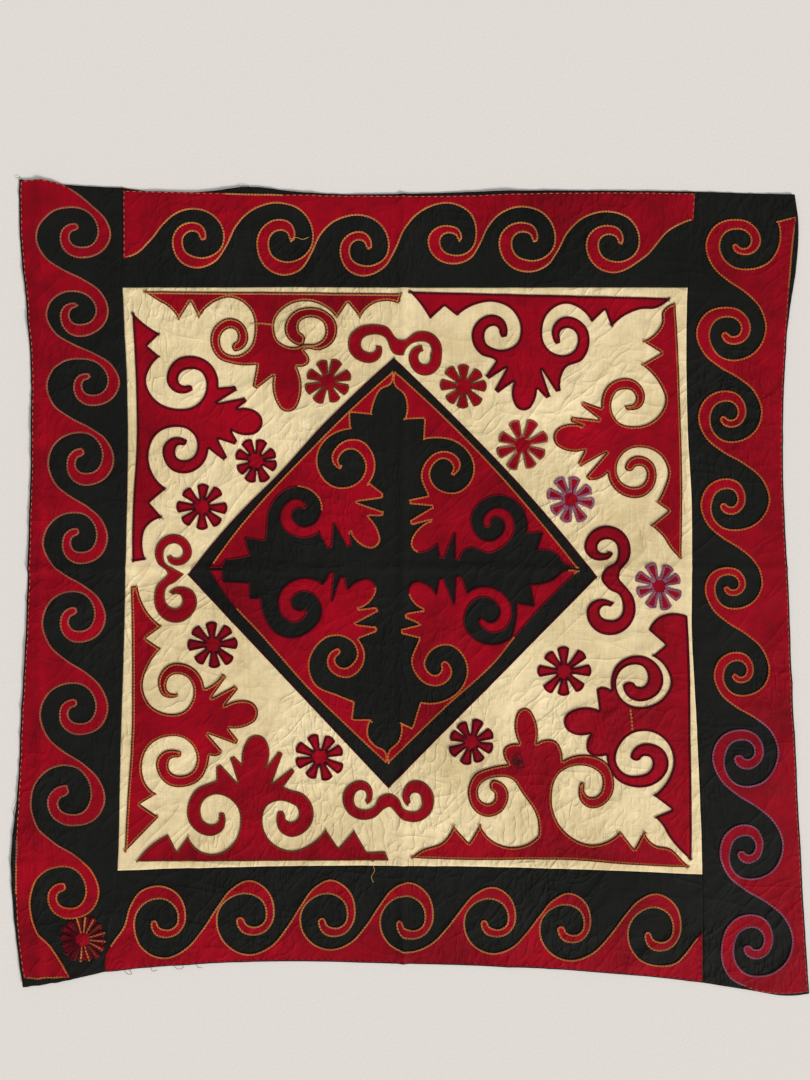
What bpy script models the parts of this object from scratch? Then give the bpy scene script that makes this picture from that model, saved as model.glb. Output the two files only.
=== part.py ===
"""Square cotton hanging with cut-cloth horn, wave and rosette motifs, laid out flat face up.

The cloth is sewn from a cream field and four dark border strips. Red motifs are laid on them:
a running wave on each border, eight horns round the field, and on the middle of the field a dark
diamond with four smaller horns, four double curls at its corners and eleven rosettes round it. A
twelfth rosette lies on one border. World units are metres, +Z is up and the back of the cloth
rests on z = 0. Places in the tables are squares of a cutting plan, x to the right and y down, and
one square is PLAN_SQUARE wide. The origin is the middle of the cloth on the surface.
"""
import math
from collections import namedtuple

import bmesh
import bpy
from mathutils import Vector

# Driving dimensions, in metres
PLAN_SQUARE = 0.00125
CLOTH = 0.001
GAP = 0.0003
LAYER = CLOTH + GAP
GROUND, MOTIF, TOP_MOTIF = 0, 1, 2
GRAIN = 0.9

# Sizes on the plan, in squares
SEAM_ALLOWANCE = 0.12
FINGER_HALF_WIDTH = 2.4
PETAL_CORE = 8.0
PETAL_ROOT = 2.6
PETAL_END = 6.2

# Angles of the scrolls, in degrees round the eye from the crest towards the lee side
HEAD_STEP = 36
HEAD_END = 430
TAIL_START = 450
TAIL_END = 180
TONGUE_STEPS = 5

CRIMSON = (0.35, 0.004, 0.018)
BLACK = (0.012, 0.013, 0.012)
CREAM = (0.62, 0.49, 0.29)

Crease = namedtuple("Crease", "axis at half_width height")
Scroll = namedtuple("Scroll", "x y crest lee back foot")
Style = namedtuple("Style", "in_foot in_back in_crest out_crest out_lee foot_pull crest_pull wind")
Border = namedtuple("Border", "crest travel style lead_in scrolls lead_out hem")
Curl = namedtuple("Curl", "x y crest lee foot back core out_lee out_crest out_back out_foot wind")
Half = namedtuple("Half", "side teeth curl fingers")
Horn = namedtuple("Horn", "base base_line tongue near far")
Arm = namedtuple("Arm", "x y first second outer inner start end")
Pair = namedtuple("Pair", "foot crotch near far")
Rosette = namedtuple("Rosette", "name x y reach turn petals")

# Main folds left from storage: the cloth lifts in a low ridge along each, in metres
CREASES = (
    Crease(axis=0, at=-0.009, half_width=0.013, height=0.0022),
    Crease(axis=1, at=0.024, half_width=0.013, height=0.0020),
    Crease(axis=0, at=-0.462, half_width=0.015, height=0.0030),
)

# Edges and seams of the ground panels on the plan
TOP_EDGE = ((20, 180), (64, 185), (122, 188), (220, 191), (240, 188), (303, 193), (551, 191),
            (696, 192), (794, 195))
RIGHT_EDGE = ((794, 195), (797, 216), (786, 339), (783, 400), (783, 500), (788, 591), (790, 650),
              (799, 831), (802, 890), (808.5, 993))
BOTTOM_EDGE = ((808.5, 993), (791, 995), (747, 989), (703, 982), (576, 970), (400, 963), (227, 962),
               (105, 971), (64, 980), (24, 986))
LEFT_EDGE = ((24, 986), (19, 953), (12.5, 890), (12, 858), (19, 783), (21.5, 720), (26, 650),
             (29, 553), (32, 420), (31, 361), (26, 291), (21, 243), (20, 180))
LEFT_SEAM = ((122, 188), (123, 288), (128, 410), (125.6, 590), (121, 752), (118, 870), (105, 971))
RIGHT_SEAM = ((696, 192), (687, 288), (687, 420), (691, 504), (692, 650), (696, 720), (702, 874),
              (703, 982))
FIELD_TOP = ((123, 288), (687, 288))
FIELD_BOTTOM = ((702, 874), (660, 872), (390, 865), (118, 870))

TOP_STYLE = Style(0.58, 0.50, 0.26, 0.60, 0.40, 0.55, 0.76, 0)
LEFT_STYLE = Style(0.58, 0.47, 0.22, 0.52, 0.46, 0.56, 0.56, 0)
RIGHT_STYLE = Style(0.58, 0.54, 0.28, 0.57, 0.48, 0.56, 0.56, 70)
BOTTOM_STYLE = Style(0.62, 0.65, 0.20, 0.46, 0.42, 0.38, 0.48, 0)

# Each wave: its scrolls in running order, the ends of its line, and its edge along the hem
BORDERS = {
    "wave_top": Border(
        crest=(0, -1), travel=(1, 0), style=TOP_STYLE,
        lead_in=((124, 259), (135, 256), (151, 242), (164, 225.5), (178, 214)),
        scrolls=(Scroll(195, 240, 29.6, 29, 22.4, 29), Scroll(283, 241, 36, 29.5, 25.7, 35.7),
                 Scroll(361, 249, 32, 27, 21, 28), Scroll(453, 241, 36, 21, 26, 24),
                 Scroll(526, 242, 33, 28, 28, 31), Scroll(612, 244, 30.5, 26, 27, 30)),
        lead_out=((644, 258.5), (671, 230), (693, 220.5)),
        hem=((694.6, 194), (551, 193.5), (470, 196), (303, 195.5), (245, 194), (123.5, 191))),
    "wave_left": Border(
        crest=(-1, 0), travel=(0, -1), style=LEFT_STYLE,
        lead_in=((71, 976), (54, 947), (37, 926)),
        scrolls=(Scroll(66, 895, 33.7, 29, 22, 34), Scroll(68, 801, 35, 36.6, 23.3, 38),
                 Scroll(77, 711, 34.4, 27.7, 23, 32), Scroll(77, 619, 32, 27.2, 23.2, 29.6),
                 Scroll(79, 540, 33.5, 26.6, 23.8, 30), Scroll(84, 461, 33.8, 27.6, 24.7, 31),
                 Scroll(90, 384, 41.5, 22.5, 22, 30.6), Scroll(78, 313, 29.5, 19.6, 24.3, 31.7),
                 Scroll(78, 236, 39.4, 26.5, 22.4, 33.8)),
        lead_out=((108, 222), (92, 205), (65, 186)),
        hem=((21.5, 182), (22.5, 243), (27.5, 291), (32.5, 361), (33.5, 420), (30.5, 553),
             (27.5, 650), (23, 720), (20.5, 783), (17.5, 831), (17.5, 915), (21, 953),
             (25.5, 977))),
    "wave_right": Border(
        crest=(1, 0), travel=(0, 1), style=RIGHT_STYLE,
        lead_in=((776, 222),),
        scrolls=(Scroll(740, 243, 38, 25.6, 23, 35), Scroll(730, 331, 33.7, 29, 23.2, 34.7),
                 Scroll(728, 415, 31.8, 26.4, 24.3, 30.5), Scroll(728, 502, 39, 26.7, 23.7, 28.4),
                 Scroll(730, 585, 30, 22.4, 17.7, 26), Scroll(738, 672, 29, 22, 20.7, 25.3),
                 Scroll(744, 753, 32, 32.8, 24, 32.5), Scroll(746, 849, 35, 28.7, 26, 27.3),
                 Scroll(753, 943, 38, 31.7, 30, 32.4)),
        lead_out=((722, 965), (730, 978), (745, 986)),
        hem=((791, 992.5), (807, 990.5), (800.5, 890), (797.5, 831), (788.5, 650), (786.5, 591),
             (781.5, 500), (781.5, 400), (784.5, 339), (795.3, 217))),
    "wave_bottom": Border(
        crest=(0, 1), travel=(-1, 0), style=BOTTOM_STYLE,
        lead_in=((701.5, 931), (697, 936), (689, 946), (674, 962)),
        scrolls=(Scroll(656, 932, 32, 27.7, 23.7, 39.6), Scroll(569, 926, 32.6, 29, 20.5, 34.4),
                 Scroll(492, 920, 31.7, 27.3, 23.2, 34.4), Scroll(408, 920, 30, 27, 24.7, 39.3),
                 Scroll(331, 918, 30, 30, 23.5, 39.4), Scroll(250, 917, 36, 32, 24, 38),
                 Scroll(163, 920, 36, 27, 23, 35.5)),
        lead_out=((142, 889), (130.5, 905), (124, 926), (113.5, 941), (107, 952)),
        hem=((107, 969.5), (227, 960.5), (400, 961.5), (576, 968.5), (701.5, 980.5))),
}

TOWARDS_TOP, TOWARDS_BOTTOM, TOWARDS_LEFT, TOWARDS_RIGHT = (0, -1), (0, 1), (-1, 0), (1, 0)

# The eight horns of the field: base direction, base line, tongue (x, y, radius) and two halves
FIELD_HORNS = {
    "horn_top_left": Horn(
        base=TOWARDS_TOP, base_line=(), tongue=(288, 401, 11),
        near=Half(TOWARDS_RIGHT,
                  ((145, 292), (158, 301), (169, 307.5), (179.5, 320.5), (191, 302),
                   (199.5, 318.5), (210, 306)),
                  Curl(232, 340, 41.5, 21, 15.5, 11, 11, 16.5, 21.5, 21, 24, 75),
                  ((257, 365), (255, 388), (274, 376))),
        far=Half(TOWARDS_LEFT,
                 ((402, 294), (399, 304.5), (373.5, 304.5), (360.5, 318.5), (348, 303),
                  (337, 319), (322, 306)),
                 Curl(306, 331, 29, 32.5, 13.5, 20.5, 12, 21, 23, 32.5, 19, 75),
                 ((304, 351), (309, 362.5), (297, 367)))),
    "horn_top_right": Horn(
        base=TOWARDS_TOP, base_line=(), tongue=(523.5, 401, 10),
        near=Half(TOWARDS_RIGHT,
                  ((409, 292), (420, 304), (430, 319.5), (444.5, 306.5), (457, 316.5), (476, 305)),
                  Curl(494, 335, 32.4, 26.4, 13.6, 9.4, 8.6, 13, 20, 22.4, 25, 10),
                  ((496, 361.4), (487, 378), (506.6, 368), (496, 392), (514, 382))),
        far=Half(TOWARDS_LEFT,
                 ((670, 298.6), (655, 309), (640, 310), (611, 328), (604.6, 310.6),
                  (591.4, 323), (579, 309)),
                 Curl(565, 338, 33.6, 22.4, 17.4, 12, 9, 13, 21, 24, 31, 35),
                 ((563, 372.4), (558, 392), (541, 370), (548, 398), (537, 389.4)))),
    "horn_left_upper": Horn(
        base=TOWARDS_LEFT, base_line=((134, 498), (137, 449), (136, 372)), tongue=(250, 422.5, 13),
        near=Half(TOWARDS_BOTTOM,
                  ((133, 312.6), (150, 328), (160.6, 334.2), (148, 346.4), (160.6, 357.2),
                   (152, 366)),
                  Curl(187, 381, 40.4, 27.5, 19.5, 10.5, 8, 12.6, 19.7, 24.7, 32, 35),
                  ((219, 388), (236.6, 388.5), (217.3, 403.5), (246, 400), (237.5, 409))),
        far=Half(TOWARDS_TOP,
                 ((133, 562), (146.6, 560), (143.5, 539.4), (145.7, 529.5), (163.2, 517.8),
                  (150.2, 503), (166.8, 488.6), (153.8, 474.6)),
                 Curl(182, 449, 32, 21, 15.4, 11.2, 5.7, 11.3, 18.7, 25, 27, 35),
                 ((210.5, 450.3), (226, 459), (218.6, 439.5), (236.5, 443), (232, 431)))),
    "horn_left_lower": Horn(
        base=TOWARDS_LEFT, base_line=((128.7, 788), (131.6, 749), (132.6, 672)),
        tongue=(246, 712.5, 12.5),
        near=Half(TOWARDS_BOTTOM,
                  ((131.6, 586.6), (138.4, 585.6), (147, 610), (162.5, 626.2), (146.1, 638.2),
                   (161.2, 648.5), (150, 664)),
                  Curl(176, 688, 32.4, 25.5, 17.5, 14, 8.6, 9, 17, 25.6, 29, 10),
                  ((206.4, 687.5), (225, 675), (211.8, 697.8), (237, 687), (225, 705.5))),
        far=Half(TOWARDS_TOP,
                 ((125.4, 851.5), (145, 831.2), (159.1, 816.7), (140.3, 803.7), (157.3, 793.5),
                  (147, 784)),
                 Curl(177, 762, 34.2, 26, 20, 12.7, 7.7, 12.4, 20.3, 24.7, 32, 25),
                 ((210, 755), (221.5, 752.5), (208, 733.5), (237.6, 741.7), (229.2, 727.7)))),
    "horn_bottom_left": Horn(
        base=TOWARDS_BOTTOM, base_line=(), tongue=(257, 746, 11.5),
        near=Half(TOWARDS_RIGHT,
                  ((137, 860.7), (150.7, 845), (169, 833.5), (177.2, 851), (188.3, 835.6),
                   (200, 849.7)),
                  Curl(214, 815, 38.3, 26, 20.7, 12.4, 8.6, 11.5, 20, 26.3, 34, 15),
                  ((216.7, 780), (219, 765), (238.3, 782.8), (232.5, 756.5), (242.3, 763.5))),
        far=Half(TOWARDS_LEFT,
                 ((389, 859.8), (385.3, 850.6), (367, 851.5), (354.2, 829.5), (338.6, 847.5),
                  (325.7, 828.6), (310, 844)),
                 Curl(290, 814, 36, 27, 11, 9, 7.5, 12.5, 22.5, 24, 25, 15),
                 ((284, 786.4), (293.5, 769.5), (272.6, 782.8), (281, 752), (266.2, 767.2)))),
    "horn_bottom_right": Horn(
        base=TOWARDS_BOTTOM, base_line=((630, 864), (580, 860), (450, 859)),
        tongue=(524.5, 716, 8.5),
        near=Half(TOWARDS_RIGHT,
                  ((411, 857), (420, 850), (443, 841), (453, 825), (469, 842.4), (480, 823.4),
                   (490, 838), (518, 846), (538, 835), (537, 818)),
                  Curl(489, 793, 0, 33, 14, 11, 10, 19.4, 23.6, 21, 26, 75),
                  ((508, 763.6), (504, 748), (519, 743))),
        far=Half(TOWARDS_LEFT,
                 ((689, 866.5), (682, 859.5), (670, 848), (654, 844), (643.6, 830.4), (634, 848.6),
                  (620, 830.4), (608, 840)),
                 Curl(591, 786, 58, 38.4, 18, 11, 11, 12, 22, 22.6, 31, 20),
                 ((562, 760.6), (554, 740), (536, 743)))),
    "horn_right_upper": Horn(
        base=TOWARDS_RIGHT, base_line=((681.6, 492), (679, 382)), tongue=(565, 437.6, 12),
        near=Half(TOWARDS_BOTTOM,
                  ((675, 303.5), (662, 312), (661.4, 323), (641.8, 341.7), (661, 353.3),
                   (640.7, 365.2), (660, 386)),
                  Curl(627, 400, 38, 26, 15, 10, 8.5, 10, 17.5, 21.5, 26, 10),
                  ((601, 408.3), (582, 404), (599, 420.2), (570.7, 419.5), (584.4, 427))),
        far=Half(TOWARDS_TOP,
                 ((680.7, 559.5), (671.5, 550.3), (662.3, 536.6), (650, 525.6), (667.8, 511),
                  (656, 502.7), (663, 489)),
                 Curl(636, 472, 31.5, 24, 19.5, 15, 10, 16, 20, 26.5, 29, 75),
                 ((606, 474.3), (587, 478.5), (606.4, 452.3), (578.9, 465), (584.4, 450.4)))),
    "horn_right_lower": Horn(
        base=TOWARDS_RIGHT, base_line=((691, 787), (690, 731), (689.4, 675)),
        tongue=(576, 721.5, 12.5),
        near=Half(TOWARDS_BOTTOM,
                  ((687, 616), (659.5, 616), (648.3, 630), (665, 644.8), (651.7, 656), (666, 669)),
                  Curl(637, 681, 33, 25.4, 21, 16.6, 9.8, 20, 26, 26, 26.6, 75),
                  ((611, 690), (598, 687.7), (599, 710))),
        far=Half(TOWARDS_TOP,
                 ((691, 860), (680, 850), (669, 837), (661.4, 824), (654, 816.5), (671.7, 809),
                  (653, 795), (670, 774)),
                 Curl(643, 761, 30, 30.3, 27, 12.6, 9, 17.6, 25.5, 25.7, 36, 75),
                 ((606.3, 755), (588, 752), (590.5, 733.5)))),
}

DIAGONAL = math.sqrt(0.5)
UP_LEFT, UP_RIGHT = (-DIAGONAL, -DIAGONAL), (DIAGONAL, -DIAGONAL)
DOWN_LEFT, DOWN_RIGHT = (-DIAGONAL, DIAGONAL), (DIAGONAL, DIAGONAL)
DIAMOND_EDGE = ((394, 358.2), (458, 420.5), (525, 490.5), (597, 577), (388.5, 788), (188.2, 575),
                (247, 505.5), (272.5, 480.5), (324, 424))

# The four horns of the diamond: each stands on one slanting side of it
DIAMOND_HORNS = {
    "diamond_horn_up_left": Horn(
        base=UP_LEFT, base_line=((233, 535.5), (319, 441), (344.5, 415.5)),
        tongue=(370.5, 538.5, 10),
        near=Half(DOWN_LEFT,
                  ((393, 371.5), (391.4, 384.5), (381, 390), (374, 403.7), (371.7, 415),
                   (350.2, 413), (351, 429.7), (334, 434.5)),
                  Curl(346, 463, 30, 26.6, 21.9, 16, 8.6, 9, 17.3, 28, 31, 0),
                  ((370, 483), (383, 496), (356, 502), (383, 514), (368, 516))),
        far=Half(UP_RIGHT,
                 ((209.8, 567.6), (223, 567.4), (226, 560), (241, 558), (250.5, 555.5),
                  (245.5, 538), (266, 541), (267.4, 531), (269, 513)),
                 Curl(301, 512, 27, 22.5, 17, 10.6, 5, 9, 16, 24, 27.6, 0),
                 ((319, 533), (329.5, 547.8), (334, 523.3), (349.4, 546.3), (350, 531)))),
    "diamond_horn_up_right": Horn(
        base=UP_RIGHT, base_line=((551.5, 535), (488, 461.5), (440, 413)),
        tongue=(420.5, 543, 10),
        near=Half(DOWN_RIGHT,
                  ((394.6, 371.5), (393.6, 384.5), (404, 396), (404, 420), (424, 419), (423, 440),
                   (437, 438.6), (452, 441)),
                  Curl(447, 470, 27, 25, 19.5, 13, 7, 8, 16.5, 21, 30, 0),
                  ((428, 495.7), (409.5, 501.8), (433, 506.4), (410.3, 523), (432, 520))),
        far=Half(UP_LEFT,
                 ((578, 568.3), (564, 563.5), (553.7, 552.4), (536, 551), (542, 532.5),
                  (526, 533), (525, 516)),
                 Curl(494, 524, 31, 25, 19.8, 11.7, 8.3, 13, 19, 22, 34, 65),
                 ((466, 549.3), (457, 560), (454.5, 532.5), (441.7, 558), (437, 544)))),
    "diamond_horn_down_left": Horn(
        base=DOWN_LEFT, base_line=((345, 724), (316, 696), (260, 633.5), (228, 598)),
        tongue=(366, 589, 10.5),
        near=Half(DOWN_RIGHT,
                  ((209.8, 569.4), (223, 569.6), (223.5, 581), (250.4, 582.4), (250.4, 597.6),
                   (261.6, 597.6), (266, 618)),
                  Curl(301, 606, 36, 23, 16.8, 11.5, 5, 9, 20, 25, 31, 0),
                  ((324, 582.5), (332, 572), (332, 601), (342.4, 576.8), (348, 588.8))),
        far=Half(UP_LEFT,
                 ((386.4, 763), (385.8, 750.5), (375, 744), (368.8, 736), (372, 718.4),
                  (352.8, 718.4), (355, 700.8), (338, 694)),
                 Curl(341, 658, 35.6, 25.2, 19, 11, 6.7, 11.7, 16, 22, 26, 35),
                 ((358.4, 638.4), (377, 628.8), (355, 623.7), (377.6, 608.8), (357.6, 609)))),
    "diamond_horn_down_right": Horn(
        base=DOWN_RIGHT, base_line=((444, 708.5), (498.4, 657.5), (514.5, 637)),
        tongue=(418, 591, 10),
        near=Half(DOWN_LEFT,
                  ((578, 570.8), (564, 570.2), (553, 579), (529, 584), (533.8, 605.6),
                   (515.4, 602.4), (514, 626)),
                  Curl(488, 614, 32, 27, 19.5, 13, 9.5, 13, 22, 25, 30, 10),
                  ((466, 589), (457.8, 576), (454, 604), (441, 578.4), (436, 594))),
        far=Half(UP_RIGHT,
                 ((388.2, 763), (388.2, 750.5), (397.8, 740.8), (400, 720.8), (412, 727),
                  (420, 700.8), (434, 702)),
                 Curl(438, 667, 30.5, 26, 15.3, 9.2, 4, 10, 16.4, 21, 31, 0),
                 ((419.4, 638), (401, 631), (419.5, 624), (405, 615), (424, 609.6)))),
}

# The double curls at the diamond's corners: reaches of each arm at every quarter turn
DOUBLE_CURLS = {
    "double_curl_top": Pair(
        foot=(394, 354.5), crotch=(399, 340),
        near=Arm(373, 345, TOWARDS_RIGHT, TOWARDS_TOP, (26, 20.4, 25.5, 18, 8),
                 (15.5, 9.5, 12, 7.5, 2), 15, 350),
        far=Arm(425, 356, TOWARDS_LEFT, TOWARDS_TOP, (28, 24.6, 17, 20.6, 16, 10),
                (21, 13.5, 5, 9, 6.4, 4), 35, 435)),
    "double_curl_left": Pair(
        foot=(184.5, 574), crotch=(168.5, 574),
        near=Arm(175, 553, TOWARDS_BOTTOM, TOWARDS_LEFT, (20, 19.4, 19, 17.5, 12.5, 7),
                 (15.5, 10.5, 9.5, 8.5, 4.5, 3), 22, 425),
        far=Arm(176, 599, TOWARDS_TOP, TOWARDS_LEFT, (26, 21.2, 24, 21.7, 11.4, 7),
                (17, 10, 9, 6.8, 5, 3), 20, 400)),
    "double_curl_right": Pair(
        foot=(601, 578.5), crotch=(619, 579),
        near=Arm(605, 548, TOWARDS_BOTTOM, TOWARDS_RIGHT, (30, 25, 22.4, 21, 12, 8),
                 (20, 12, 8.3, 8, 5, 4), 30, 415),
        far=Arm(608, 611, TOWARDS_TOP, TOWARDS_RIGHT, (33, 27, 24, 22.2, 11, 8),
                (22, 14, 8.6, 9, 5, 4), 27, 395)),
    "double_curl_bottom": Pair(
        foot=(389, 793), crotch=(390, 806),
        near=Arm(362, 797, TOWARDS_RIGHT, TOWARDS_BOTTOM, (27, 22.4, 19.4, 17, 10.5, 8),
                 (17, 12, 7.5, 7.5, 4.5, 4), 25, 415),
        far=Arm(415, 799, TOWARDS_LEFT, TOWARDS_BOTTOM, (25, 22.6, 19, 19.6, 12, 8),
                (15.5, 12, 6.5, 7, 5, 4), 24, 400)),
}

# Rosettes: middle, reach of the petals, turn in degrees and number of petals
ROSETTES = (
    Rosette("rosette_top_left", 328, 382, 24, -20, 8),
    Rosette("rosette_top_right", 463.5, 386.5, 24, 2, 8),
    Rosette("rosette_upper_right", 521.9, 445.2, 27, -21, 8),
    Rosette("rosette_mid_right", 570.5, 499.5, 25, 13, 8),
    Rosette("rosette_right", 658.3, 586, 25, -20, 8),
    Rosette("rosette_lower_right", 563.8, 671, 27, 0, 8),
    Rosette("rosette_bottom_right", 471.2, 741.7, 24, 18, 8),
    Rosette("rosette_bottom_left", 320, 756.8, 25.5, -18, 8),
    Rosette("rosette_lower_left", 213.3, 644.5, 25.5, -3, 8),
    Rosette("rosette_left", 202.4, 507, 25.5, 1, 8),
    Rosette("rosette_upper_left", 256.6, 461, 23, 18, 8),
    Rosette("rosette_corner", 84, 938, 24, 6, 16),
)


def wavy_reach(radii, quarter_turns):
    """Radius at a turn counted in quarters, eased between the radii given at each quarter."""
    low = min(int(quarter_turns), len(radii) - 2)
    part = quarter_turns - low
    eased = part * part * (3 - 2 * part)
    share = 0.5 * (part + eased)
    return radii[low] + (radii[low + 1] - radii[low]) * share


def round_eye(x, y, crest, lee, angle, radius):
    """Point at an angle from the crest direction towards the lee direction round an eye."""
    turn = math.radians(angle)
    along_crest = radius * math.cos(turn)
    along_lee = radius * math.sin(turn)
    return (x + crest[0] * along_crest + lee[0] * along_lee,
            y + crest[1] * along_crest + lee[1] * along_lee)


def stepped(start, end, step):
    """Angles from start to end, both included, as evenly as the step allows."""
    count = max(1, round(abs(end - start) / step))
    return [start + (end - start) * index / count for index in range(count + 1)]


def scroll_line(x, y, crest, lee, head, tail, wind, start=0):
    """Line of one scroll: in along the head, round the tail's blunt tip and out to the foot.

    head holds the radii at crest, lee, foot, back and crest again, and tail those at the lee,
    crest, back and foot on the way out. wind adds degrees to the middle of the scroll.
    """
    head_end = HEAD_END + wind
    tail_start = TAIL_START + wind
    eye = 0.28 * head[4] if wind > 40 else 0.42 * head[4]
    head_radii = list(head) + [eye + 0.35 * (head[4] - eye), eye, eye]
    tail_radii = [tail[3], tail[2], tail[1], tail[0], 0.72 * tail[0], 0.72 * tail[0]]
    points = []
    for angle in stepped(start, head_end, HEAD_STEP):
        points.append(round_eye(x, y, crest, lee, angle, wavy_reach(head_radii, angle / 90)))
    first = wavy_reach(tail_radii, (tail_start - TAIL_END) / 90)
    points.append(round_eye(x, y, crest, lee, tail_start + 12, 0.5 * (first + eye)))
    for angle in stepped(tail_start, TAIL_END, HEAD_STEP):
        radius = wavy_reach(tail_radii, (angle - TAIL_END) / 90)
        points.append(round_eye(x, y, crest, lee, angle, radius))
    return points


def s_curve(start, end, travel, start_pull, end_pull, count=4):
    """Points between a foot and the next crest on a Bezier curve that leaves both along travel."""
    run = abs((end[0] - start[0]) * travel[0] + (end[1] - start[1]) * travel[1])
    near = (start[0] + travel[0] * run * start_pull, start[1] + travel[1] * run * start_pull)
    far = (end[0] - travel[0] * run * end_pull, end[1] - travel[1] * run * end_pull)
    points = []
    for index in range(1, count + 1):
        t = index / (count + 1)
        weights = ((1 - t) ** 3, 3 * t * (1 - t) ** 2, 3 * t * t * (1 - t), t ** 3)
        corners = (start, near, far, end)
        points.append(tuple(sum(w * c[k] for w, c in zip(weights, corners)) for k in (0, 1)))
    return points


def wave_outline(border):
    """Outline of a red border strip whose inner edge is a running wave of scrolls."""
    style = border.style
    points = list(border.lead_in)
    previous_foot = None
    for scroll in border.scrolls:
        head = (scroll.crest, scroll.lee, scroll.foot * style.in_foot,
                scroll.back * style.in_back, scroll.foot * style.in_crest)
        tail = (scroll.lee * style.out_lee, scroll.foot * style.out_crest, scroll.back,
                scroll.foot)
        line = scroll_line(scroll.x, scroll.y, border.crest, border.travel, head, tail,
                           style.wind)
        if previous_foot is not None:
            points += s_curve(previous_foot, line[0], border.travel, style.foot_pull,
                              style.crest_pull)
        points += line
        previous_foot = line[-1]
    return points + list(border.lead_out) + list(border.hem)


def blunt(previous, tip, following):
    """Two points that square off a finger's tip between the gaps at its sides."""
    middle = ((previous[0] + following[0]) / 2, (previous[1] + following[1]) / 2)
    length = math.dist(middle, tip)
    side = (-(tip[1] - middle[1]) / length, (tip[0] - middle[0]) / length)
    ends = [(tip[0] + side[0] * reach, tip[1] + side[1] * reach)
            for reach in (FINGER_HALF_WIDTH, -FINGER_HALF_WIDTH)]
    ends.sort(key=lambda end: math.dist(end, previous) - math.dist(end, following))
    return ends


def half_line(half, base):
    """One half of a horn's outline, from the end of its base strip to the side of its tongue."""
    curl = half.curl
    head = (curl.crest, curl.lee, curl.foot, curl.back, curl.core)
    tail = (curl.out_lee, curl.out_crest, curl.out_back, curl.out_foot)
    start = 0 if curl.crest else 90
    points = list(half.teeth)
    points += scroll_line(curl.x, curl.y, base, half.side, head, tail, curl.wind, start)
    fingers = half.fingers
    points.append(fingers[0])
    for index in range(1, len(fingers) - 1, 2):
        points += blunt(fingers[index - 1], fingers[index], fingers[index + 1])
        points.append(fingers[index + 1])
    return points


def horn_outline(horn):
    """Outline of a horn: base line, toothed strip, a curl on each side, fingers and tongue."""
    near = half_line(horn.near, horn.base)
    far = half_line(horn.far, horn.base)
    x, y, radius = horn.tongue
    inward = (-horn.base[0], -horn.base[1])
    away = (-horn.near.side[0], -horn.near.side[1])
    tongue = []
    for angle in stepped(70, -70, 140 / TONGUE_STEPS):
        tongue.append(round_eye(x, y, inward, away, angle, radius))
    return near + tongue + far[::-1] + list(horn.base_line)


def arm_line(arm):
    """One arm of a double curl, in along its inner side and out along its outer side."""
    inward = []
    outward = []
    for angle in stepped(0, arm.end - 8, HEAD_STEP):
        radius = wavy_reach(arm.inner, angle / 90)
        inward.append(round_eye(arm.x, arm.y, arm.first, arm.second, angle, radius))
    for angle in stepped(arm.end, arm.start, HEAD_STEP):
        radius = wavy_reach(arm.outer, angle / 90)
        outward.append(round_eye(arm.x, arm.y, arm.first, arm.second, angle, radius))
    return inward + outward


def pair_outline(pair):
    """Outline of two arms that share a foot and part at a crotch."""
    return [pair.foot] + arm_line(pair.near) + [pair.crotch] + arm_line(pair.far)[::-1]


def rosette_outline(rosette):
    """Outline of wedge petals round a small core, a little uneven as cut by hand."""
    step = 360 / rosette.petals
    narrow = 8 / rosette.petals
    points = []
    for index in range(rosette.petals):
        sway = 2.5 * narrow * math.sin(2.1 * index + rosette.x)
        middle = rosette.turn + step * index + sway
        reach = rosette.reach * (1 - 0.05 * (1 + math.sin(1.7 * index + rosette.y)))
        root = math.degrees(PETAL_ROOT * narrow / PETAL_CORE)
        end = math.degrees(PETAL_END * narrow / reach)
        for angle, radius in ((-root, PETAL_CORE), (-end, reach - 1.5), (0, reach),
                              (end, reach - 1.5), (root, PETAL_CORE)):
            points.append(round_eye(rosette.x, rosette.y, (1, 0), (0, 1), middle + angle, radius))
    return points


def signed_area(outline):
    """Area of an outline, positive where it runs anticlockwise seen from above."""
    total = 0.0
    for (ax, ay), (bx, by) in zip(outline, outline[1:] + outline[:1]):
        total += ax * by - bx * ay
    return total / 2


def trimmed(outline, allowance):
    """Outline with every corner drawn in by the allowance, so that joined panels don't touch."""
    turned = outline if signed_area(outline) > 0 else outline[::-1]
    points = []
    for index, corner in enumerate(turned):
        here = Vector(corner)
        before = (here - Vector(turned[index - 1])).normalized()
        after = (Vector(turned[(index + 1) % len(turned)]) - here).normalized()
        inward = Vector((-before.y - after.y, before.x + after.x))
        scale = allowance * 2 / max(inward.length_squared, 0.5)
        points.append(tuple(here + inward * scale))
    return points


def seam(line, low, high):
    """Part of a seam line between two heights on the plan, both included."""
    return [point for point in line if low <= point[1] <= high]


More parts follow.
